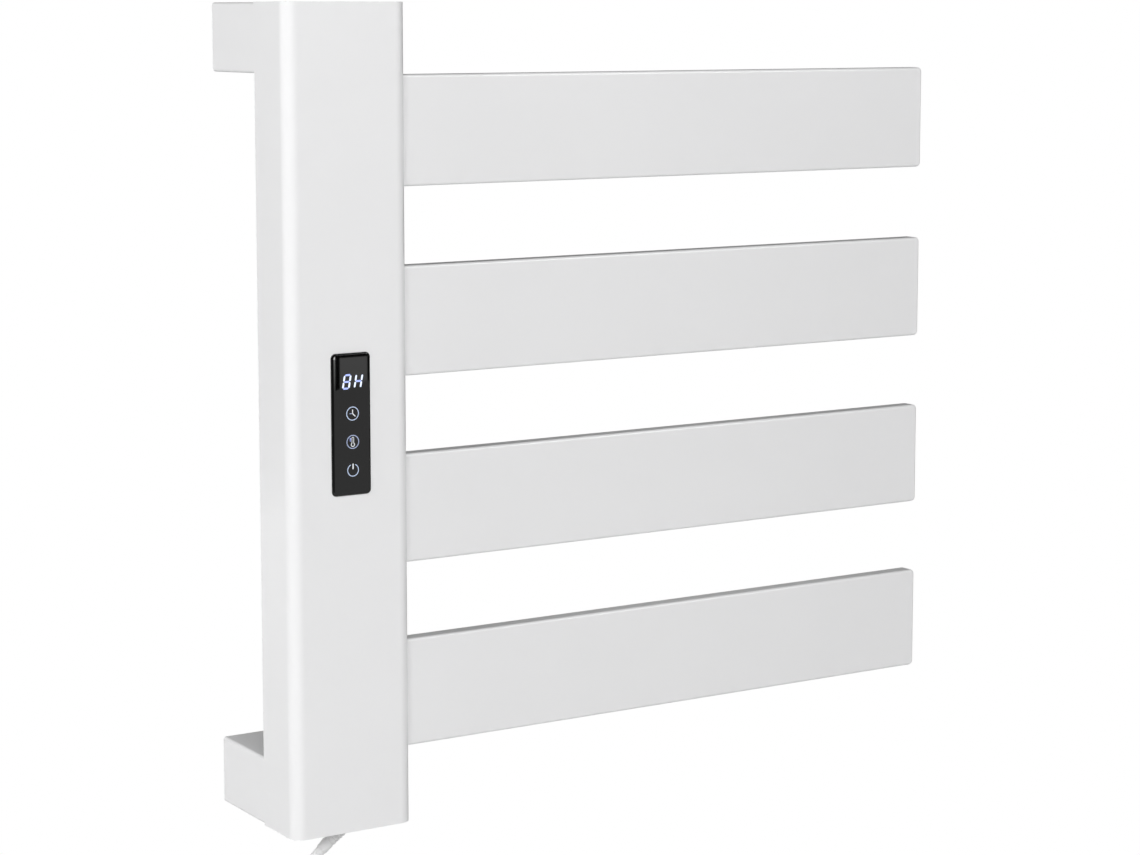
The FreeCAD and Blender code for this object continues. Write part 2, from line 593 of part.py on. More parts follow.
def sensors():
    """The temperature probe on bar 3 and the thermal cut-out on bar 2, both on the backs of the bars."""
    keep(rod("temperature_probe", "20", f"{BAR_BACK} - 2.1", bar_middle(3), "2", "12", (1, 0, 0)),
         "temperature_probe")
    disc = rod("cutout_disc", "30", f"{BAR_BACK} - 0.1", bar_middle(2), "7.5", "4", (0, 1, 0))
    cup = rod("cutout_cup", "30", f"{BAR_BACK} - 0.1", bar_middle(2), "5.5", "8", (0, 1, 0))
    keep(fused("thermal_cutout", [disc, cup]), "thermal_cutout")


LEAD_SIZE = 2.8


def inner_wiring():
    """The leads between the bars' heating cables, to the power board and to the earth stud."""
    y, start, half = -cable_out(), size("cable_start") - 0.1, size("cable_half")
    leads = []
    for upper in range(1, BAR_COUNT):
        high, low = bar_rise(upper) - half, bar_rise(upper + 1) + half
        leads.append([(start, y, high), (10, y, high), (8, y, high - 8), (8, y, low + 8), (10, y, low),
                      (start, y, low)])
    top, bottom = bar_rise(1) + half, bar_rise(BAR_COUNT) - half
    leads.append([(start, y, top), (4, y, top), (-12, y, top - 6), (-26, y, top - 24), (-26, y, 20),
                  (-24, y, -61)])
    leads.append([(start, y, bottom), (4, y, bottom), (-6, y, bottom + 10), (-6, y, -148.2)])
    leads.append([(-23, -84, -148.2), (-23, -86, -185), (-14, -94, -212), (6, -98, -226), (21.9, -93, -230)])
    shaped("inner_wiring", [tube_solid(f"lead {k}", points, LEAD_SIZE)
                            for k, points in enumerate(leads, start=1)])
    post = rod("earth_post", "27", COL_INSIDE, "-230", "2.5", "14", (0, 1, 0))
    nut = rod("earth_nut", "27", f"{COL_INSIDE} - 8", "-230", "4.5", "3", (0, 1, 0))
    keep(fused("earth_stud", [post, nut]), "earth_stud")


# ---------------------------------------------------------------- cord entry, cord, coil and plug
BOOT_TURN = FreeCAD.Vector(-0.76, 0, -0.65)
BOOT_LENGTH = 20
FLANGE = 2.5


def cord_entry():
    """The gland in the lower cap, its nut, the angled boot and the mains lead's tail inside the column."""
    x, y, low = size("gland_across"), -size("gland_out"), -size("col_height") / 2
    barrel = rod("gland_barrel", "gland_across", "gland_out", "-col_height / 2 - 0.1", "gland_size / 2",
                 "12", (0, 0, 1))
    flange = rod("gland_flange", "gland_across", "gland_out", f"-col_height / 2 - {FLANGE}", "8.5",
                 str(FLANGE), (0, 0, 1))
    bore = rod("gland_bore", "gland_across", "gland_out", "-col_height / 2 - 5", "cord_size / 2 + 0.05",
               "30", (0, 0, 1))
    keep(cut("cable_gland", fused("gland_solid", [barrel, flange]), bore), "cable_gland")
    nut = doc.addObject("Part::Prism", "gland_nut_hex")
    nut.Polygon = 6
    for prop, text in (("Circumradius", "gland_size / 2 + 4.2"), ("Height", "5"),
                       ("Placement.Base.x", "gland_across"), ("Placement.Base.y", "-gland_out"),
                       ("Placement.Base.z", "-col_height / 2 + cap_sheet + 0.1")):
        nut.setExpression(prop, bound(text))
    hole = rod("gland_nut_hole", "gland_across", "gland_out", "-col_height / 2", "gland_size / 2 + 0.05",
               "20", (0, 0, 1))
    keep(cut("gland_nut", nut, hole), "gland_nut")
    boot = doc.addObject("Part::Cone", "boot_cone")
    boot.Radius1, boot.Radius2, boot.Height = 5.4, 3.8, BOOT_LENGTH + 5
    way = FreeCAD.Vector(BOOT_TURN).normalize()
    start = FreeCAD.Vector(x, y, low - FLANGE) - way * 5
    boot.Placement = FreeCAD.Placement(start, FreeCAD.Rotation(FreeCAD.Vector(0, 0, 1), way))
    above = block("boot_above", ("gland_across - 20", "gland_across + 20"),
                  ("gland_out - 20", "gland_out + 20"),
                  (f"-col_height / 2 - {FLANGE} - 0.05", "-col_height / 2 + 20"))
    keep(cut("cord_boot", boot, above), "cord_boot")
    tail = [(x, y, low - FLANGE + 0.2), (x, y, low + 24), (x - 6, y + 6, low + 46),
            (x - 14, y + 10, low + 70), (x - 18, y + 8, low + 92), (x - 18, y + 2, -149.3)]
    shaped("mains_tail", [tube_solid("mains_tail", tail, size("cord_size") - 0.1)])
    return start + way * (BOOT_LENGTH + 5.05)


# The free lead: it leaves the boot to the left, turns down under its own weight and meets the coil's
# left side, and a short tail goes from the coil's front down to the plug.
COIL_LAYERS = 2
COIL_TURNS_ACROSS = 3


def mains_cord(exit_point):
    """The lead, the put-away coil with its tie, the tail and the plug."""
    thick, middle = size("cord_size"), size("coil_middle") / 2
    x, y, z = size("coil_across"), -size("coil_out"), size("coil_rise")
    left = x - middle - thick / 2
    lead = [tuple(exit_point), (-25.4, -82.5, -286.0), (-37.0, -82.8, -300.0), (-45.4, -84.2, -317.5),
            (left + 0.2, -87.4, -336.0), (left, -90.5, -351.5)]
    shaped("cord_lead", [tube_solid("cord_lead", lead, thick)])
    radial, across = COIL_LAYERS * thick / 2 + 0.1, COIL_TURNS_ACROSS * thick / 2 + 0.2
    face = Part.Face(Part.makePolygon([FreeCAD.Vector(x + r, y + w, z) for r, w in
                                       ((middle - radial, -across), (middle + radial, -across),
                                        (middle + radial, across), (middle - radial, across),
                                        (middle - radial, -across))]))
    ring = face.revolve(FreeCAD.Vector(x, y, z), FreeCAD.Vector(0, 1, 0), 360)
    shaped("cord_coil", [ring.makeFillet(2.4, [e for e in ring.Edges if e.Closed and e.Length > 50])])
    clear, band = 0.6, 1.6
    boxes = []
    for name, grow, half in (("tie_outer", clear + band, 5), ("tie_inner", clear, 6)):
        boxes.append(block(name, (x + middle - radial - grow, x + middle + radial + grow),
                           (-y - across - grow, -y + across + grow), (z - half, z + half)))
    keep(cut("cord_tie", *boxes), "cord_tie")
    tail_x, tail_y = x - middle + thick / 2, y - across - thick / 2 - 0.1
    plug_top = z - 58
    tail = [(tail_x, tail_y, z - 2), (tail_x - 0.6, tail_y, z - 30), (tail_x, tail_y, plug_top + 0.2)]
    shaped("cord_tail", [tube_solid("cord_tail", tail, thick)])
    plug(tail_x, tail_y, plug_top)


def plug(x, y, top):
    """A moulded plug with a tapered neck and two round pins."""
    place, down = FreeCAD.Vector(x, y, top), FreeCAD.Vector(0, 0, -1)
    outline = [(0, 0), (5, 0), (6.5, 12), (13, 20), (17.5, 25), (18.5, 28), (18.5, 44), (0, 44), (0, 0)]
    section = Part.Face(Part.makePolygon([place + FreeCAD.Vector(r, 0, -drop) for r, drop in outline]))
    solid = section.revolve(place, FreeCAD.Vector(0, 0, 1), 360)
    for side in (-1, 1):
        groove = Part.makeBox(6, 4, 17, place + FreeCAD.Vector(-3, side * 17.5 - 2, -45))
        solid = solid.cut(groove)
    shaped("plug_body", [solid])
    pin_top = place + down * 44.05
    pins = []
    for side in (-1, 1):
        pin = Part.makeCylinder(2.4, 19, pin_top + FreeCAD.Vector(side * 9.5, 0, 0), down)
        pins.append(pin.makeFillet(1.6, [e for e in pin.Edges if lies_at(e, 2, pin_top.z - 19)]))
    shaped("plug_pins", pins)


# ---------------------------------------------------------------- fasteners
def fasteners():
    """The screws of the back cover, the arms and the bars."""
    back = -(size("arm_length") - size("cover_thick"))
    screws("back_cover_screws", [(x, back + 0.02, z) for x in (-SCREW_ACROSS, SCREW_ACROSS)
                                 for z in COVER_SCREW_RISES], (0, -1, 0), SMALL_SCREW, 6, 5.6, 1.8)
    web = -(size("arm_length") - size("arm_wall"))
    rise = size("col_height") / 2 - size("arm_inset") - size("arm_height") / 2
    screws("arm_screws", [(x, web + 0.02, side * rise + step) for x in (-SCREW_ACROSS, SCREW_ACROSS)
                          for side in (-1, 1) for step in (-ARM_SCREW_HALF, ARM_SCREW_HALF)],
           (0, -1, 0), SMALL_SCREW, 6, 5.2, 1.8)
    bar_back = -(size("arm_length") + size("col_depth") - size("bar_setback") - size("bar_thick"))
    screws("bar_screws", [(size("bar_screw_across"), bar_back + 0.02, bar_rise(number) + side)
                          for number in range(1, BAR_COUNT + 1)
                          for side in (-size("bar_screw_half"), size("bar_screw_half"))],
           (0, -1, 0), 4, 20, 7, 2.2)


def check_and_write():
    """Stop on any failed object or shape, then write each sub-part to its own file."""
    doc.recompute()
    bad = [item.Name for item in doc.Objects if {"Invalid", "Error"} & set(item.State)]
    bad += [part.Label for part in PARTS if part.Shape.isNull() or not part.Shape.isValid()]
    if bad:
        raise RuntimeError("failed: " + ", ".join(bad))
    os.makedirs("parts", exist_ok=True)
    for part in PARTS:
        part.Shape.exportStep(f"parts/{part.Label}.step")
    print(len(PARTS), "sub-parts written")


column_profile()
column_back_cover()
column_cap("top_cap", True)
column_cap("bottom_cap", False)
for level, sign in (("upper", ""), ("lower", "-")):
    arm(f"{level}_arm", sign)
    hanger(f"{level}_hanger_bar", sign)
    wall_plate(f"{level}_wall_plate", sign)
for bar_number in range(1, BAR_COUNT + 1):
    bar(bar_number)
    bar_end_cap(bar_number)
    bar_saddle(bar_number)
    heating_cable(bar_number)
slot_gaskets()
heat_spreaders()
touch_lens()
lens_housing()
touch_electronics()
power_electronics()
sensors()
inner_wiring()
mains_cord(cord_entry())
fasteners()
check_and_write()
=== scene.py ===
# %% [markdown]
# # A wall-hung towel warmer, from its bare frame to its finished look
# The frame holds every part at its real size and place, so this lesson only adds what a frame can't:
# paint, plastic, a lit display, and a mains lead of its real length. Everything is in metres, +X runs
# along the bars, +Y goes into the wall and +Z is up.

# %% Load the frame
import json
import math

import bpy
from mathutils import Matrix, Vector


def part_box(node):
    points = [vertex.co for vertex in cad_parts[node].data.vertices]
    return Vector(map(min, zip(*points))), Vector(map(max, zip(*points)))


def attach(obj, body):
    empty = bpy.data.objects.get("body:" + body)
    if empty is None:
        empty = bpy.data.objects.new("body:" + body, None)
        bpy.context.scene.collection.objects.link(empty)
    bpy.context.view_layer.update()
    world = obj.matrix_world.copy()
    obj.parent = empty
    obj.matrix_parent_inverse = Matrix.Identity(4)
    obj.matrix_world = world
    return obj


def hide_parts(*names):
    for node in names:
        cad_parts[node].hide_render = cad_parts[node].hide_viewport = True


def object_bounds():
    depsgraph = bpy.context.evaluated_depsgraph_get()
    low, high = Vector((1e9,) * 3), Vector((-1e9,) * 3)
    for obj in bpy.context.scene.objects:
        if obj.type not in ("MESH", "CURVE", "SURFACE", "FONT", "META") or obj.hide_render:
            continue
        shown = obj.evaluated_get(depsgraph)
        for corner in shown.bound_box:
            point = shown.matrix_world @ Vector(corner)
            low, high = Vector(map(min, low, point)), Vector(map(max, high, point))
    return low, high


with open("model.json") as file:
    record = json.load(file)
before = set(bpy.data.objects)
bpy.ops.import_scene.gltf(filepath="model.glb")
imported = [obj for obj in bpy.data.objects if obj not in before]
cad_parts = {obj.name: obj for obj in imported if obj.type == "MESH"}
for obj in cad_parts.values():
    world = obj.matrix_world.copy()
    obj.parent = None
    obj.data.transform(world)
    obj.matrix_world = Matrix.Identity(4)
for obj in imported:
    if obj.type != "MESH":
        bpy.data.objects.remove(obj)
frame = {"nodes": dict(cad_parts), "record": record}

cad_low, cad_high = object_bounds()
nodes = frame["nodes"]
print("nodes", len(nodes), "box", [round(v, 3) for v in (*cad_low, *cad_high)])

# %% [markdown]
# Places that many steps need are read once from the frame's own boxes: the column's two corners, which
# the lights aim between, and the plane of the lens, which stands a little proud of the column's front.

# %% Places read from the frame
RACK = "rack"
MM = 0.001
column_low, column_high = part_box("column_profile")
lens_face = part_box("touch_lens")[0].y
print("column", [round(v, 4) for v in (*column_low, *column_high)], "lens face", round(lens_face, 4))

# %% [markdown]
# The camera stands to the left of the column, a little below its top, and looks slightly down with a
# long lens, so that uprights stay almost upright. A view camera would hold them exactly so by sliding
# its back down; here a small shift does a part of that, and the tilt does the rest.

# %% Camera
CAMERA_PLACE = (-0.7808, -1.5994, 0.254)
CAMERA_DOWN, CAMERA_RIGHT = 6.99, 32.19
CAMERA_LENS, CAMERA_SHIFT = 86.6, -0.07
scene = bpy.context.scene
camera_data = bpy.data.cameras.new("camera")
camera_data.sensor_width = 36
camera_data.lens = CAMERA_LENS
camera_data.shift_y = CAMERA_SHIFT
camera = bpy.data.objects.new("camera", camera_data)
camera.location = CAMERA_PLACE
camera.rotation_euler = (math.radians(90 - CAMERA_DOWN), 0, math.radians(-CAMERA_RIGHT))
scene.collection.objects.link(camera)
scene.camera = camera
print("camera", [round(v, 3) for v in camera.location])

# %% [markdown]
# A plain pale floor far below the rack. To the camera it is an even white card; to everything else it is
# an ordinary pale surface, so it throws only a little soft light up under the bars.

# %% Floor and world
FLOOR_DROP, FLOOR_HALF, WORLD_LEVEL = 0.12, 12.0, 0.06
scene.view_settings.view_transform = "Standard"


def link(tree, start, end):
    """Join two sockets of one node tree."""
    tree.links.new(start, end)


def light_split(tree, seen, felt):
    """Show one shader to the camera and another to every other ray."""
    path = tree.nodes.new("ShaderNodeLightPath")
    mix = tree.nodes.new("ShaderNodeMixShader")
    link(tree, path.outputs["Is Camera Ray"], mix.inputs[0])
    link(tree, felt.outputs[0], mix.inputs[1])
    link(tree, seen.outputs[0], mix.inputs[2])
    return mix


floor_mesh = bpy.data.meshes.new("floor")
floor_z = cad_low.z - FLOOR_DROP
corners = [(x * FLOOR_HALF, y * FLOOR_HALF, floor_z) for x, y in ((-1, -1), (1, -1), (1, 1), (-1, 1))]
floor_mesh.from_pydata(corners, [], [(0, 1, 2, 3)])
floor = bpy.data.objects.new("floor", floor_mesh)
scene.collection.objects.link(floor)
floor_paint = bpy.data.materials.new("floor_card")
floor_paint.use_nodes = True
tree = floor_paint.node_tree
glow = tree.nodes.new("ShaderNodeEmission")
glow.inputs["Color"].default_value = (1, 1, 1, 1)
glow.inputs["Strength"].default_value = 1.0
card = tree.nodes["Principled BSDF"]
card.inputs["Base Color"].default_value = (0.8, 0.8, 0.8, 1)
card.inputs["Roughness"].default_value = 0.9
link(tree, light_split(tree, glow, card).outputs[0], tree.nodes["Material Output"].inputs["Surface"])
floor_mesh.materials.append(floor_paint)

world = bpy.data.worlds.new("studio")
scene.world = world
world.use_nodes = True
tree = world.node_tree
seen = tree.nodes.new("ShaderNodeBackground")
seen.inputs["Color"].default_value = (1, 1, 1, 1)
felt = tree.nodes["Background"]
felt.inputs["Color"].default_value = (1, 1, 1, 1)
felt.inputs["Strength"].default_value = WORLD_LEVEL
link(tree, light_split(tree, seen, felt).outputs[0], tree.nodes["World Output"].inputs["Surface"])
print("floor at", round(floor_z, 3))

# %% [markdown]
# Soft light comes from the front and the left, and little of it from above, so the bars' narrow tops stay
# grey. Two weak panels behind the rack light its back. All of these only spread light, and are left out
# of reflections, which keeps the black lens black. The tall strip at the right is the one that is
# mirrored: it draws the fine bright line on the bars' front edges.

# %% Lights
aim = (column_low + column_high) / 2 + Vector((0.15, 0, 0))


def panel_light(name, place, width, height, power, mirrored=True):
    """Hang a rectangular soft light that faces the rack."""
    data = bpy.data.lights.new(name, "AREA")
    data.shape = "RECTANGLE"
    data.size, data.size_y, data.energy = width, height, power
    light = bpy.data.objects.new(name, data)
    light.location = place
    light.rotation_euler = (aim - Vector(place)).to_track_quat("-Z", "Y").to_euler()
    light.visible_camera = False
    light.visible_glossy = mirrored
    scene.collection.objects.link(light)
    return light


panel_light("key", (-0.8, -2.1, 1.0), 1.5, 1.5, 40.5, mirrored=False)
panel_light("left_side", (-2.7, 0.15, 1.5), 1.6, 1.8, 56, mirrored=False)
panel_light("right_strip", (1.9, -2.4, 1.35), 0.7, 1.5, 20)
panel_light("behind_left", (-1.3, 2.8, -0.1), 1.6, 1.6, 22, mirrored=False)
panel_light("behind_right", (1.9, 2.4, -0.3), 1.6, 1.6, 22, mirrored=False)

# %% [markdown]
# A glossy black lens shows nothing but what it mirrors, so its look is made by cards, as in a product
# studio. Each card is laid out backwards: a point on the lens is chosen, and the card's corner goes where
# the camera's ray lands after the lens has mirrored it. Cards are seen in reflections only.

# %% Cards for the lens to mirror
CARD_Y = -2.0
mirrored_eye = Vector((camera.location.x, 2 * lens_face - camera.location.y, camera.location.z))


def lens_card(name, corners, top_level, low_level, behind=0.0):
    """Make a glowing card that fills an outline on the lens, given as (across, up) in millimetres."""
    reach = (CARD_Y - behind - mirrored_eye.y) / (lens_face - mirrored_eye.y)
    on_lens = [Vector((x * MM, lens_face, z * MM)) for x, z in corners]
    points = [mirrored_eye + (point - mirrored_eye) * reach for point in on_lens]
    mesh = bpy.data.meshes.new(name)
    mesh.from_pydata([tuple(point) for point in points], [], [tuple(range(len(points)))])
    material = bpy.data.materials.new(name)
    material.use_nodes = True
    tree = material.node_tree
    place = tree.nodes.new("ShaderNodeSeparateXYZ")
    link(tree, tree.nodes.new("ShaderNodeTexCoord").outputs["Object"], place.inputs[0])
    level = tree.nodes.new("ShaderNodeMapRange")
    level.inputs["From Min"].default_value = min(point.z for point in points)
    level.inputs["From Max"].default_value = max(point.z for point in points)
    level.inputs["To Min"].default_value = low_level
    level.inputs["To Max"].default_value = top_level
    link(tree, place.outputs["Z"], level.inputs["Value"])
    glow = tree.nodes.new("ShaderNodeEmission")
    link(tree, level.outputs["Result"], glow.inputs["Strength"])
    link(tree, glow.outputs[0], tree.nodes["Material Output"].inputs["Surface"])
    mesh.materials.append(material)
    card = bpy.data.objects.new(name, mesh)
    scene.collection.objects.link(card)
    card.visible_camera = card.visible_diffuse = card.visible_shadow = False
    return card


BAND_LEFT, BAND_RIGHT, CARD_RIGHT, CARD_TOP = -11.2, -8.0, 11.2, 42.0
lens_card("black_flag", [(-16, 48), (16, 48), (16, 18), (-16, 18)], 0.0, 0.0, behind=0.05)
lens_card("upper_card", [(BAND_RIGHT, CARD_TOP), (CARD_RIGHT, CARD_TOP), (CARD_RIGHT, 26.7),
                         (BAND_RIGHT, 22.9)], 1.25, 1.15)
lens_card("lower_card", [(-12.4, 21.8), (BAND_LEFT, 21.8), (BAND_RIGHT, 22.9), (CARD_RIGHT, 26.7),
                         (20, 27.5), (20, -47), (-12.4, -47)], 0.70, 0.70)
lens_card("left_strip", [(-12.2, CARD_TOP), (BAND_LEFT, CARD_TOP), (BAND_LEFT, 21.8),
                         (-12.2, 21.8)], 3.6, 1.0)
lens_card("corner_spark", [(-12.3, 42.8), (-11.2, 42.8), (-11.2, 41.2), (-12.3, 41.2)], 14.0, 10.0,
          behind=-0.02)
print("cards at", CARD_Y)

# %% [markdown]
# Surface effects that several finishes share are shader node groups, built once. The first is a fine
# grain: a small bump that breaks up the gloss, with a slow change of tone over the whole piece.

# %% Shader group: grain and tone


def new_group(name, inputs, outputs):
    """Start a shader group with float inputs that have default values, and outputs of a given kind."""
    group = bpy.data.node_groups.new(name, "ShaderNodeTree")
    for label, value in inputs:
        socket = group.interface.new_socket(label, in_out="INPUT", socket_type="NodeSocketFloat")
        socket.default_value = value
    for label, kind in outputs:
        group.interface.new_socket(label, in_out="OUTPUT", socket_type=kind)
    return group, group.nodes.new("NodeGroupInput"), group.nodes.new("NodeGroupOutput")


def noise(tree, coords, scale, detail=3.0, rough=0.55):
    """Add a noise texture that reads object coordinates, at a scale that is a number or a socket."""
    texture = tree.nodes.new("ShaderNodeTexNoise")
    texture.inputs["Detail"].default_value = detail
    texture.inputs["Roughness"].default_value = rough
    link(tree, coords, texture.inputs["Vector"])
    if isinstance(scale, (int, float)):
        texture.inputs["Scale"].default_value = scale
    else:
        link(tree, scale, texture.inputs["Scale"])
    return texture.outputs["Fac"]


def math_node(tree, operation, first, second):
    """Combine two values; each is a number or a socket."""
    node = tree.nodes.new("ShaderNodeMath")
    node.operation = operation
    for socket, value in zip(node.inputs, (first, second)):
        if isinstance(value, (int, float)):
            socket.default_value = value
        else:
            link(tree, value, socket)
    return node.outputs[0]


FLOAT = "NodeSocketFloat"
grain_group, source, sink = new_group(
    "grain_and_tone", [("Grain Scale", 900.0), ("Tone Scale", 9.0), ("Tone Depth", 0.05)],
    [("Height", FLOAT), ("Tone", FLOAT)])
coords = grain_group.nodes.new("ShaderNodeTexCoord").outputs["Object"]
fine = noise(grain_group, coords, source.outputs["Grain Scale"], 4.0)
slow = noise(grain_group, coords, source.outputs["Tone Scale"], 2.0)
swing = math_node(grain_group, "MULTIPLY", math_node(grain_group, "SUBTRACT", slow, 0.5),
                  source.outputs["Tone Depth"])
link(grain_group, fine, sink.inputs["Height"])
link(grain_group, math_node(grain_group, "ADD", swing, 1.0), sink.inputs["Tone"])
print("group", grain_group.name)

# %% [markdown]
# The second group finds edges, where hands rub and where a painted edge highlight goes. The cosine
# between a slightly rounded normal and the true one drops along every edge, and noise breaks the line up,
# so the lighter edges look rubbed and not drawn: partly real wear, partly painted highlight.

# %% Shader group: edge wear and painted edge highlight
rubbed_and_lit_edges_group, source, sink = new_group(
    "edge_wear_and_highlight", [("Radius", 0.0012), ("Amount", 0.6), ("Patch Scale", 60.0)], [("Mask", FLOAT)])
bevel = rubbed_and_lit_edges_group.nodes.new("ShaderNodeBevel")
bevel.samples = 4
link(rubbed_and_lit_edges_group, source.outputs["Radius"], bevel.inputs["Radius"])
true_normal = rubbed_and_lit_edges_group.nodes.new("ShaderNodeNewGeometry").outputs["Normal"]
dot = rubbed_and_lit_edges_group.nodes.new("ShaderNodeVectorMath")
dot.operation = "DOT_PRODUCT"
link(rubbed_and_lit_edges_group, bevel.outputs["Normal"], dot.inputs[0])
link(rubbed_and_lit_edges_group, true_normal, dot.inputs[1])
edge = math_node(rubbed_and_lit_edges_group, "MULTIPLY", math_node(rubbed_and_lit_edges_group, "SUBTRACT", 1.0, dot.outputs["Value"]), 6.0)
coords = rubbed_and_lit_edges_group.nodes.new("ShaderNodeTexCoord").outputs["Object"]
patches = noise(rubbed_and_lit_edges_group, coords, source.outputs["Patch Scale"], 3.0)
# Edge line broken into patches: rubbed wear, and a painted edge highlight where the edge colour is lighter.
rubbed_and_lit = math_node(rubbed_and_lit_edges_group, "MULTIPLY", edge, patches)
held = math_node(rubbed_and_lit_edges_group, "MULTIPLY", rubbed_and_lit, source.outputs["Amount"])
limit = math_node(rubbed_and_lit_edges_group, "MINIMUM", held, 1.0)
link(rubbed_and_lit_edges_group, limit, sink.inputs["Mask"])
print("group", rubbed_and_lit_edges_group.name)

# %% [markdown]
# The third group is smudges: large soft patches where hands and towels have passed, which change how
# glossy a surface is and hardly its colour.

# %% Shader group: smudges
smudge_group, source, sink = new_group(
    "smudges", [("Scale", 26.0), ("Low", 0.3), ("High", 0.4)], [("Roughness", FLOAT)])
coords = smudge_group.nodes.new("ShaderNodeTexCoord").outputs["Object"]
blot = noise(smudge_group, coords, source.outputs["Scale"], 5.0, 0.6)
span = math_node(smudge_group, "SUBTRACT", source.outputs["High"], source.outputs["Low"])
spread = math_node(smudge_group, "MULTIPLY", blot, span)
link(smudge_group, math_node(smudge_group, "ADD", spread, source.outputs["Low"]), sink.inputs["Roughness"])
print("group", smudge_group.name)

# %% [markdown]
# Every finish is put together the same way: a colour, a lighter colour for the edges (rubbed wear, and
# a painted edge highlight), a tone that drifts, a gloss that drifts, and a bump at the grain's own scale.
# One function makes them, each with its values.

# %% A function for finishes
# By default an edge is 6 % lighter than its finish: a painted edge highlight, and rubbed wear on metal.
COAT_ROUGHNESS, EDGE_WEAR_AND_HIGHLIGHT_LIFT = 0.12, 1.06


def place_group(tree, group, **values):
    """Put a shader group in a material and set its inputs."""
    node = tree.nodes.new("ShaderNodeGroup")
    node.node_tree = group
    for label, value in values.items():
        node.inputs[label.replace("_", " ")].default_value = value
    return node


def finish(name, colour, edge_colour=None, rough=(0.3, 0.4), metal=0.0, coat=0.0, grain=900.0, bump=0.02,
           rub_and_highlight=0.5, tone=0.05, smudge=26.0):
    """Make one procedural finish out of the shared groups."""
    material = bpy.data.materials.new(name)
    material.use_nodes = True
    tree = material.node_tree
    surface = tree.nodes["Principled BSDF"]
    surface.inputs["Metallic"].default_value = metal
    surface.inputs["Coat Weight"].default_value = coat
    surface.inputs["Coat Roughness"].default_value = COAT_ROUGHNESS
    texture = place_group(tree, grain_group, Grain_Scale=grain, Tone_Depth=tone)
    edges = place_group(tree, rubbed_and_lit_edges_group, Amount=rub_and_highlight)
    gloss = place_group(tree, smudge_group, Scale=smudge, Low=rough[0], High=rough[1])
    # Edges take the lighter edge colour: in part rubbed wear, in part a painted edge highlight.
    worn_and_lit_edge = tree.nodes.new("ShaderNodeMix")
    worn_and_lit_edge.data_type = "RGBA"
    worn_and_lit_edge.inputs["A"].default_value = (*colour, 1)
    worn_and_lit_edge.inputs["B"].default_value = (*(edge_colour or [min(1, c * EDGE_WEAR_AND_HIGHLIGHT_LIFT) for c in colour]), 1)
    link(tree, edges.outputs["Mask"], worn_and_lit_edge.inputs["Factor"])
    toned = tree.nodes.new("ShaderNodeVectorMath")
    toned.operation = "SCALE"
    link(tree, worn_and_lit_edge.outputs["Result"], toned.inputs[0])
    link(tree, texture.outputs["Tone"], toned.inputs["Scale"])
    link(tree, toned.outputs["Vector"], surface.inputs["Base Color"])
    link(tree, gloss.outputs["Roughness"], surface.inputs["Roughness"])
    relief = tree.nodes.new("ShaderNodeBump")
    relief.inputs["Strength"].default_value = 1.0
    relief.inputs["Distance"].default_value = bump * MM
    link(tree, texture.outputs["Height"], relief.inputs["Height"])
    link(tree, relief.outputs["Normal"], surface.inputs["Normal"])
    return material


white_paint = finish("white_powder_coat", (0.83, 0.83, 0.835), rough=(0.30, 0.38), coat=0.6, grain=420,
                     bump=0.008, rub_and_highlight=0.35, tone=0.02, smudge=14)
print("finish", white_paint.name)

# %% [markdown]
# The rack's metal is one satin powder coat, sprayed over aluminium and steel alike. The inner parts are
# never seen from outside, but each still gets the finish of its own material, for when the cover is
# lifted off.

# %% The other finishes
zinc = finish("zinc_plate", (0.55, 0.56, 0.58), rough=(0.28, 0.46), metal=1.0, grain=260, bump=0.01,
              rub_and_highlight=0.4, tone=0.12, smudge=90)
bare_aluminium = finish("bare_aluminium", (0.66, 0.67, 0.69), rough=(0.30, 0.42), metal=1.0, grain=500,
                        bump=0.008, tone=0.06)
cap_plastic = finish("white_cap_plastic", (0.82, 0.82, 0.825), rough=(0.32, 0.40), grain=700, bump=0.010,
                     tone=0.02, rub_and_highlight=0.2)
lens_gloss = finish("smoked_lens", (0.002, 0.002, 0.002), (0.006, 0.006, 0.006), rough=(0.008, 0.016),
                    grain=1200, bump=0.00005, rub_and_highlight=0.3, tone=0.1, smudge=60)
cord_skin = finish("white_cord_sheath", (0.80, 0.80, 0.80), rough=(0.36, 0.46), grain=900, bump=0.02,
                   tone=0.03, rub_and_highlight=0.1)
boot_rubber = finish("white_boot_rubber", (0.78, 0.78, 0.78), rough=(0.45, 0.55), grain=1100, bump=0.02,
                     tone=0.03, rub_and_highlight=0.3)
plug_shell = finish("plug_shell", (0.80, 0.80, 0.80), rough=(0.34, 0.44), grain=800, bump=0.02, tone=0.03)
nylon = finish("white_nylon", (0.74, 0.74, 0.72), rough=(0.40, 0.50), grain=900, bump=0.01, tone=0.04)
nickel = finish("nickel_plate", (0.72, 0.70, 0.66), rough=(0.16, 0.28), metal=1.0, grain=600, bump=0.004,
                tone=0.06, rub_and_highlight=0.6)
silicone = finish("grey_silicone", (0.30, 0.31, 0.32), rough=(0.6, 0.75), grain=700, bump=0.02, tone=0.08)
red_silicone = finish("red_silicone", (0.42, 0.05, 0.035), rough=(0.5, 0.65), grain=800, bump=0.02)
black_plastic = finish("black_moulding", (0.02, 0.02, 0.022), (0.05, 0.05, 0.05), rough=(0.42, 0.56),
                       grain=1000, bump=0.02, tone=0.1)
board_green = finish("solder_mask", (0.015, 0.12, 0.05), (0.30, 0.24, 0.12), rough=(0.25, 0.40), coat=0.3,
                     grain=1500, bump=0.01, tone=0.15)
green_plastic = finish("green_terminal", (0.03, 0.22, 0.08), rough=(0.4, 0.5), grain=900, bump=0.02)
tape = finish("winding_tape", (0.55, 0.40, 0.05), rough=(0.3, 0.5), grain=500, bump=0.02, tone=0.1)
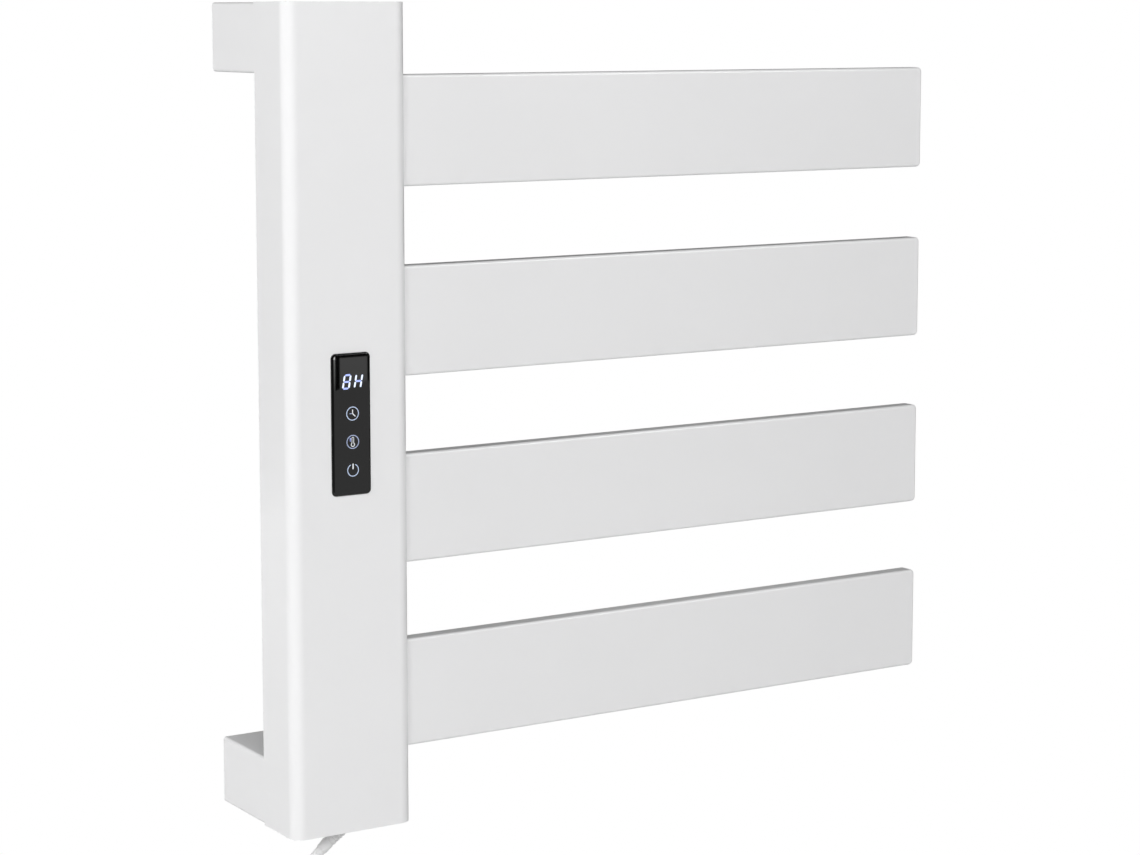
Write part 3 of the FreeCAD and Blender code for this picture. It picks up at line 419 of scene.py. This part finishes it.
insulation = finish("lead_insulation", (0.48, 0.14, 0.03), rough=(0.35, 0.5), grain=900, bump=0.01)
ceramic_tube = finish("fuse_ceramic", (0.62, 0.64, 0.62), rough=(0.2, 0.3), grain=900, bump=0.005)
brass = finish("plain_brass", (0.58, 0.40, 0.14), rough=(0.25, 0.40), metal=1.0, grain=600, bump=0.006)
tie_strap = finish("tie_strap", (0.70, 0.70, 0.69), rough=(0.6, 0.8), grain=1400, bump=0.08, tone=0.06)
print("finishes", len(bpy.data.materials))

# %% [markdown]
# Each node takes the finish of its material slot in the record. A table from slot to finish does it in
# one pass, and the printed count shows that no node was missed.

# %% Finishes on the frame's own parts
FINISH_OF_SLOT = {
    "white_paint": white_paint, "white_cap": cap_plastic, "zinc_steel": zinc,
    "bare_aluminium": bare_aluminium, "grey_silicone": silicone, "black_lens": lens_gloss,
    "black_plastic": black_plastic, "green_board": board_green, "display_white": nylon,
    "grey_ribbon": silicone, "yellow_tape": tape, "fuse_glass": ceramic_tube,
    "green_plastic": green_plastic, "white_nylon": nylon, "black_resin": black_plastic,
    "lead_insulation": insulation, "red_silicone": red_silicone, "brass_metal": brass,
    "white_pvc": cord_skin, "tie_plastic": tie_strap, "plug_plastic": plug_shell, "nickel_pins": nickel,
}
painted = 0
for row in frame["record"]["subparts"]:
    part = nodes[row["node"]]
    part.data.materials.clear()
    part.data.materials.append(FINISH_OF_SLOT[row["material_slot"]])
    painted += 1
print("painted", painted, "of", len(nodes))

# %% [markdown]
# A mesh made from its own points needs a home: this helper turns points and faces into a piece that rides
# on the rack, with its finish.

# %% A function for new pieces


def piece(name, points, faces, material, smooth=False, body=RACK):
    """Make a mesh piece that rides on a body."""
    mesh = bpy.data.meshes.new(name)
    mesh.from_pydata([tuple(point) for point in points], [], faces)
    mesh.update()
    mesh.materials.append(material)
    if smooth:
        mesh.shade_smooth()
    made = bpy.data.objects.new(name, mesh)
    scene.collection.objects.link(made)
    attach(made, body)
    return made


print("new pieces ride on", RACK)

# %% [markdown]
# The mains lead is a fixed length of round cable. It leaves the angled boot under the column, turns down
# under its own weight, and its spare length is wound into a tied coil that hangs from it with the plug.
# Its route is a row of points: a few given one by one for the free stretch, and a loop for the coil's turns,
# which slide over to their next seat in the bundle during the last part of each turn.

# %% The lead's route
CORD_SIZE = 6.5 * MM


def ease(value, start, end):
    """Rise smoothly from 0 at start to 1 at end."""
    share = min(1, max(0, (value - start) / (end - start)))
    return share * share * (3 - 2 * share)


BOOT_ROOT = Vector((2.0, -82.5, -262.5)) * MM
BOOT_WAY = Vector((-0.76, 0.0, -0.65)).normalized()
BOOT_LENGTH = 20.05 * MM
boot_tip = BOOT_ROOT + BOOT_WAY * BOOT_LENGTH
COIL_CENTRE = Vector((-10.0, -84.0, -375.0)) * MM
COIL_RADIUS, TURN_POINTS, PITCH = 36.0 * MM, 16, 6.7 * MM
SLIDE_FROM, SLIDE_TO = 0.6, 0.9
lead = [boot_tip] + [Vector(point) * MM for point in (
    (-25.4, -82.5, -286.0), (-37.0, -82.8, -300.0), (-45.4, -84.2, -317.5), (-49.05, -87.4, -336.0),
    (-49.25, -90.5, -351.5))]
outer, inner = COIL_RADIUS + PITCH / 2, COIL_RADIUS - PITCH / 2
seats = [(outer, -PITCH), (outer, 0), (outer, PITCH), (inner, PITCH), (inner, 0), (inner, -PITCH),
         (inner, -2 * PITCH)]
coil = []
for step in range((len(seats) - 1) * TURN_POINTS + 1):
    turn, share = divmod(step / TURN_POINTS, 1)
    here, there = seats[int(turn)], seats[min(int(turn) + 1, len(seats) - 1)]
    slide = ease(share, SLIDE_FROM, SLIDE_TO)
    radius = here[0] + (there[0] - here[0]) * slide
    across = here[1] + (there[1] - here[1]) * slide
    angle = math.pi + 2 * math.pi * step / TURN_POINTS
    coil.append(COIL_CENTRE + Vector((radius * math.cos(angle), across, radius * math.sin(angle))))
tail_x, tail_y = coil[-1].x, coil[-1].y
PLUG_TOP = COIL_CENTRE.z - 58 * MM
tail = [Vector((tail_x - 0.4 * MM, tail_y - 0.1 * MM, COIL_CENTRE.z - 16 * MM)),
        Vector((tail_x - 0.6 * MM, tail_y, COIL_CENTRE.z - 36 * MM)),
        Vector((tail_x, tail_y, PLUG_TOP - 4 * MM))]
route = lead + coil + tail
print("route points", len(route))

# %% [markdown]
# One open spline with a round bevel turns the route into cable. A swept tube keeps the same thickness
# through every bend, which a modelled mesh would have to be checked for, and its order of three keeps it
# close to the points. It takes the place of the frame's three plain solids for the lead.

# %% The lead as one spline
cord_curve = bpy.data.curves.new("mains_cord", "CURVE")
cord_curve.dimensions = "3D"
spline = cord_curve.splines.new("NURBS")
spline.points.add(len(route) - 1)
for control, point in zip(spline.points, route):
    control.co = (*point, 1)
spline.order_u = 3
spline.use_endpoint_u = True
spline.resolution_u = 6
cord_curve.bevel_depth = CORD_SIZE / 2
cord_curve.bevel_resolution = 5
cord_curve.use_fill_caps = True
cord_curve.materials.append(cord_skin)
mains_cord = bpy.data.objects.new("mains_cord", cord_curve)
scene.collection.objects.link(mains_cord)
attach(mains_cord, RACK)
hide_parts("cord_lead", "cord_coil", "cord_tail")
print("cord", cord_curve.name, "points", len(spline.points))

# %% [markdown]
# Round soft mouldings, such as the boot, the plug and its pins, are all rings of points threaded on a
# line. One function threads them, and a rule for the radius at each place and angle gives each its shape.

# %% A function for ringed mouldings


def ringed(name, centres, radius_at, material, around=40):
    """Skin rings threaded on a line; radius_at(share along, angle) gives each point's distance from it."""
    points, faces = [], []
    for index, centre in enumerate(centres):
        after, before = centres[min(index + 1, len(centres) - 1)], centres[max(index - 1, 0)]
        forward = (after - before).normalized()
        side = Vector((0, 1, 0)).cross(forward).normalized()
        up = forward.cross(side)
        for k in range(around):
            angle = 2 * math.pi * k / around
            radius = radius_at(index / (len(centres) - 1), angle)
            points.append(centre + (side * math.cos(angle) + up * math.sin(angle)) * radius)
    for ring in range(len(centres) - 1):
        for k in range(around):
            a, b = ring * around + k, ring * around + (k + 1) % around
            faces.append((a, b, b + around, a + around))
    faces.append(tuple(range(around - 1, -1, -1)))
    faces.append(tuple((len(centres) - 1) * around + k for k in range(around)))
    return piece(name, points, faces, material, smooth=True)


print("ringed mouldings can be made")

# %% [markdown]
# The boot is soft and tapered, so that the lead bends gently where it leaves. Rings cut into it let it
# flex; between them it stays thick. It bends once, near its root, to lead the cord off to the left.

# %% The lead's boot
BOOT_RINGS, ROOT_RADIUS, TIP_RADIUS = 72, 5.4 * MM, 3.75 * MM
GROOVES, GROOVE_DEPTH, GROOVES_FROM, GROOVES_TO, TIP_LIP = 5, 0.5 * MM, 0.22, 0.84, 0.45 * MM
start, bend, end = BOOT_ROOT + Vector((0, 0, 0.6 * MM)), BOOT_ROOT + BOOT_WAY * 3.5 * MM, boot_tip
boot_line = []
for step in range(BOOT_RINGS):
    t = step / (BOOT_RINGS - 1)
    boot_line.append(start * (1 - t) ** 2 + bend * 2 * t * (1 - t) + end * t ** 2)


def boot_radius(share, angle):
    """Taper, with five grooves over the middle and a rounded lip at the tip."""
    taper = ROOT_RADIUS + (TIP_RADIUS - ROOT_RADIUS) * ease(share, 0.0, 1.0)
    wave = max(0, math.sin((share - GROOVES_FROM) / (GROOVES_TO - GROOVES_FROM) * GROOVES * 2 * math.pi))
    groove = GROOVE_DEPTH * wave ** 2 if GROOVES_FROM < share < GROOVES_TO else 0
    return taper - groove - TIP_LIP * ease(share, 0.96, 1.0)


boot = ringed("lead_boot", boot_line, boot_radius, boot_rubber)
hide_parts("cord_boot")
print("boot", len(boot.data.vertices))

# %% [markdown]
# The plug is a round moulding with a fluted grip, a slim neck round the lead, and a groove in each side
# for the socket's earth springs. Its pins are half sleeved, with domed ends.

# %% The plug
PLUG_LENGTH, BODY_RADIUS, SHOULDER_RADIUS, NECK_RADIUS = 44.0 * MM, 18.5 * MM, 7.0 * MM, 4.9 * MM
PLUG_RINGS, NECK_GROOVES, NECK_SHARE, FLUTES = 90, 4, 0.27, 22
NECK_GROOVE_DEPTH, FLUTE_DEPTH, SIDE_GROOVE_DEPTH, FACE_LIP = 0.45 * MM, 0.55 * MM, 2.2 * MM, 1.1 * MM
plug_axis = Vector((tail_x, tail_y, 0))
plug_line = [plug_axis + Vector((0, 0, PLUG_TOP - PLUG_LENGTH * k / (PLUG_RINGS - 1)))
             for k in range(PLUG_RINGS)]


def plug_radius(share, angle):
    """Neck, fluted shoulder and grooved body, from the lead down to the face."""
    shape = NECK_RADIUS - 0.9 * MM * ease(share, 0.02, 0.0)
    shape += (SHOULDER_RADIUS - NECK_RADIUS) * ease(share, 0.10, 0.30)
    shape += (BODY_RADIUS - SHOULDER_RADIUS) * ease(share, 0.30, 0.60)
    if 0.03 < share < NECK_SHARE:
        shape -= NECK_GROOVE_DEPTH * max(0, math.sin(share / NECK_SHARE * NECK_GROOVES * 2 * math.pi))
    fluted = ease(share, 0.36, 0.44) * ease(share, 0.66, 0.58)
    shape -= FLUTE_DEPTH * (0.5 + 0.5 * math.cos(FLUTES * angle)) * fluted
    shape -= SIDE_GROOVE_DEPTH * ease(abs(math.sin(angle)), 0.975, 0.992) * ease(share, 0.60, 0.64)
    return shape - FACE_LIP * ease(share, 0.965, 1.0)


plug_body = ringed("plug_moulding", plug_line, plug_radius, plug_shell, around=132)
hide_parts("plug_body")
PIN_RADIUS, PIN_LENGTH, PIN_HALF_PITCH, PIN_RINGS = 2.4 * MM, 19.0 * MM, 9.5 * MM, 40
PIN_ROOT, SLEEVE_THICK, PIN_SIDES = 0.3 * MM, 0.12 * MM, 28


def pin_radius(share, angle):
    """Keep one thickness down to a domed end."""
    return (PIN_RADIUS - SLEEVE_THICK) * math.sqrt(max(0.02, 1 - ease(share, 0.86, 1.02) ** 2))


def sleeve_radius(share, angle):
    """Keep the pin's full thickness, with a slight round at the sleeve's end."""
    return PIN_RADIUS - SLEEVE_THICK / 2 * ease(share, 0.94, 1.0)


plug_face = PLUG_TOP - PLUG_LENGTH
pins, sleeves = [], []
for name, side in (("left", -1), ("right", 1)):
    foot = plug_axis + Vector((side * PIN_HALF_PITCH, 0, plug_face + PIN_ROOT))
    line = [foot - Vector((0, 0, (PIN_LENGTH + PIN_ROOT) * k / (PIN_RINGS - 1))) for k in range(PIN_RINGS)]
    pins.append(ringed(f"plug_pin_{name}", line, pin_radius, nickel, around=PIN_SIDES))
    sleeves.append(ringed(f"plug_sleeve_{name}", line[:PIN_RINGS // 2], sleeve_radius, black_plastic,
                          around=PIN_SIDES))
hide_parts("plug_pins")
print("plug", len(plug_body.data.vertices), "pins", len(pins))

# %% [markdown]
# A short strap keeps the coil's turns together. It is a flat band bent round the bundle into a rounded
# rectangle, a little fuller than the bundle, with its loose end lying over its start.

# %% The coil's tie
BAND_HALF, BAND_THICK, CLEAR, CORNER, SQUARENESS = 5.0 * MM, 1.1 * MM, 0.35 * MM, 4.2 * MM, 2.4
STRAP_STEPS, OVERLAP, SOFT_EDGE, LOOSE = 120, 1.16, 0.3 * MM, 0.1 * MM
bundle = COIL_CENTRE + Vector((COIL_RADIUS, 0, 0))
half_x, half_y = PITCH / 2 + CORD_SIZE / 2 + CLEAR, PITCH + CORD_SIZE / 2 + CLEAR


def strap_point(share, lift):
    """Give a point on a rounded rectangle round the bundle, at a distance outside it."""
    angle = 2 * math.pi * share
    way = Vector((math.cos(angle), math.sin(angle), 0))
    across, deep = (max(-1, min(1, SQUARENESS * part)) for part in way[:2])
    corner = Vector((across * (half_x - CORNER), deep * (half_y - CORNER), 0))
    return bundle + corner + way * (CORNER + lift)


strap_points, strap_faces = [], []
for k in range(STRAP_STEPS + 1):
    share = OVERLAP * k / STRAP_STEPS
    over = (BAND_THICK + LOOSE) * ease(share, 0.93, 1.0)
    for lift, up in ((over, -BAND_HALF), (over + BAND_THICK, -BAND_HALF + SOFT_EDGE),
                     (over + BAND_THICK, BAND_HALF - SOFT_EDGE), (over, BAND_HALF)):
        strap_points.append(strap_point(share, lift) + Vector((0, 0, up)))
for k in range(STRAP_STEPS):
    for j in range(4):
        a, b = 4 * k + j, 4 * k + (j + 1) % 4
        strap_faces.append((a, a + 4, b + 4, b))
strap_faces += [(0, 1, 2, 3), tuple(4 * STRAP_STEPS + j for j in (3, 2, 1, 0))]
strap = piece("coil_strap", strap_points, strap_faces, tie_strap)
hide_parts("cord_tie")
print("strap", len(strap.data.vertices))

# %% [markdown]
# Now the lead can be declared: its true length and size, where it leaves the boot, and what is on it.
# The lead is complete: the cord, its boot, the plug with its pins, and the strap round the coil.

print("lead, boot, plug and strap built")

# %% [markdown]
# The display and the key marks are windows in the black print behind the lens, lit from inside. Real
# light windows have no height, so these are plates a few hundredths of a millimetre thick on the lens's
# face. Seven-segment figures are slanted bars with pointed ends; one function draws any bar.

# %% Light windows
PLATE_BACK, PLATE_FRONT = lens_face + 0.02 * MM, lens_face - 0.05 * MM
GLOW_SCALE, GLOW_DRIFT = 900.0, 0.35


def lit(name, colour, strength):
    """Make a finish for a light window: milky plastic that glows a little unevenly."""
    material = finish(name, [c * 0.6 for c in colour], rough=(0.3, 0.45), grain=1500, bump=0.002, tone=0.1,
                      rub_and_highlight=0.0)
    tree = material.node_tree
    surface = tree.nodes["Principled BSDF"]
    texture = place_group(tree, grain_group, Grain_Scale=1500.0, Tone_Scale=GLOW_SCALE, Tone_Depth=GLOW_DRIFT)
    glow = tree.nodes.new("ShaderNodeVectorMath")
    glow.operation = "SCALE"
    glow.inputs[0].default_value = colour
    link(tree, texture.outputs["Tone"], glow.inputs["Scale"])
    link(tree, glow.outputs["Vector"], surface.inputs["Emission Color"])
    surface.inputs["Emission Strength"].default_value = strength
    return material


def window(name, outlines, material):
    """Make one piece out of flat outlines, each a ring of (across, up) points in millimetres."""
    points, faces = [], []
    for outline in outlines:
        base, count = len(points), len(outline)
        for depth in (PLATE_BACK, PLATE_FRONT):
            points += [Vector((x * MM, depth, z * MM)) for x, z in outline]
        faces.append(tuple(range(base + count, base + 2 * count)))
        faces.append(tuple(range(base + count - 1, base - 1, -1)))
        for k in range(count):
            a, b = base + k, base + (k + 1) % count
            faces.append((a, b, b + count, a + count))
    return piece(name, points, faces, material)


def stroke(x1, z1, x2, z2, width, pointed=0.0):
    """Give the outline of a bar between two points, with square or pointed ends."""
    along = Vector((x2 - x1, z2 - z1)).normalized()
    side = Vector((-along.y, along.x)) * width / 2
    outline = []
    for end, way in ((Vector((x1, z1)), -1), (Vector((x2, z2)), 1)):
        tip = [end + along * way * pointed] if pointed else []
        outline += [end - side * way, *tip, end + side * way]
    return [(point.x, point.y) for point in outline]


def ring_outlines(across, up, radius, width, gap=0.0, steps=64):
    """Cut a ring, or a ring with a gap at its top, into short curved outlines that meet."""
    start, span = math.pi / 2 + gap / 2, 2 * math.pi - gap
    outlines = []
    for k in range(steps):
        angles = [start + span * k / steps, start + span * (k + 1) / steps]
        corners = [(radius + width / 2, angles[0]), (radius + width / 2, angles[1]),
                   (radius - width / 2, angles[1]), (radius - width / 2, angles[0])]
        outlines.append([(across + reach * math.cos(a), up + reach * math.sin(a)) for reach, a in corners])
    return outlines


print("light windows from", round(PLATE_BACK / MM, 2), "to", round(PLATE_FRONT / MM, 2), "mm")

# %% [markdown]
# The display shows "8H": a number of hours. Upright bars are nearly white and level ones bluer, as the
# light inside is brightest at the sides.

# %% The display's figures
FIGURE_WIDTH, FIGURE_HEIGHT, BAR, SLANT, POINT = 4.2, 8.3, 1.15, math.tan(math.radians(10)), 0.5
FIGURES_UP, SEGMENT_GAP = 26.9, 0.42
FIGURE_CENTRES = {"8": -3.2, "H": 4.9}
half_w, half_h = FIGURE_WIDTH / 2, FIGURE_HEIGHT / 2
inset = POINT + SEGMENT_GAP / 2
UPRIGHTS = {"upper_left": (-half_w, 0, half_h), "upper_right": (half_w, 0, half_h),
            "lower_left": (-half_w, -half_h, 0), "lower_right": (half_w, -half_h, 0)}
LEVELS = {"8": (-half_h, 0, half_h), "H": (0,)}


def slanted(outline, centre):
    """Lean an outline to the right and move it to its place."""
    return [(x + z * SLANT + centre, z + FIGURES_UP) for x, z in outline]


upright_bars, level_bars = [], []
for figure, centre in FIGURE_CENTRES.items():
    for x, low, high in UPRIGHTS.values():
        upright_bars.append(slanted(stroke(x, low + inset, x, high - inset, BAR, POINT), centre))
    for z in LEVELS[figure]:
        level_bars.append(slanted(stroke(-half_w + inset, z, half_w - inset, z, BAR, POINT), centre))
bright = lit("display_bright", (0.72, 0.80, 0.98), 0.9)
blue = lit("display_blue", (0.36, 0.44, 0.90), 0.9)
window("display_uprights", upright_bars, bright)
window("display_levels", level_bars, blue)
print("display bars", len(upright_bars) + len(level_bars))

# %% [markdown]
# Three touch keys sit under the display: a timer, a temperature key and an on-off key. Each is a plain
# sign that any maker would use: a clock's face, a thermometer and a broken ring.

# %% The key signs
SIGN_RADIUS, SIGN_LINE, HAND, FINE_LINE = 4.1, 0.5, 0.6, 0.36
SIGNS_ACROSS, SIGN_TOP, SIGN_PITCH = 0.6, 6.85, 17.75
timer_up, heat_up, power_up = (SIGN_TOP - SIGN_PITCH * k for k in range(3))
pale = lit("sign_pale", (0.42, 0.50, 0.66), 0.8)
dim = lit("sign_dim", (0.36, 0.42, 0.60), 0.62)
warm_white = lit("sign_white", (0.62, 0.64, 0.66), 0.8)
x = SIGNS_ACROSS
window("timer_ring", ring_outlines(x, timer_up, SIGN_RADIUS, SIGN_LINE), pale)
window("timer_hands", [stroke(x, timer_up, x, timer_up + 2.5, HAND),
                       stroke(x, timer_up, x + 1.9, timer_up - 1.9, HAND)], warm_white)
window("timer_mark", [stroke(x - 2.1, timer_up, x - 0.6, timer_up, 0.5)], dim)
window("heat_ring", ring_outlines(x, heat_up, SIGN_RADIUS, SIGN_LINE), dim)
BULB, BULB_UP, STEM_HALF, STEM_LOW, STEM_TOP = 1.15, -1.75, 0.6, -0.8, 2.35
stem = [stroke(x + side * STEM_HALF, heat_up + STEM_LOW, x + side * STEM_HALF, heat_up + STEM_TOP, FINE_LINE)
        for side in (-1, 1)]
cap = [outline for outline in ring_outlines(x, heat_up + STEM_TOP, STEM_HALF, FINE_LINE, steps=24)
       if min(z for _, z in outline) > heat_up + STEM_TOP - 0.05]
bulb = ring_outlines(x, heat_up + BULB_UP, BULB, SIGN_LINE, gap=math.radians(62), steps=32)
window("heat_thermometer", stem + cap + bulb, warm_white)
ticks = [stroke(x - 2.1, heat_up + up, x - 1.25, heat_up + up, FINE_LINE) for up in (0.7, 1.5, 2.3)]
window("heat_marks", ticks, blue)
POWER_RADIUS = 3.75
window("power_ring", ring_outlines(x, power_up, POWER_RADIUS, SIGN_LINE, gap=math.radians(50)), pale)
window("power_bar", [stroke(x, power_up + 0.7, x, power_up + POWER_RADIUS + 0.3, 0.8)], warm_white)
print("signs at", timer_up, round(heat_up, 1), round(power_up, 1))
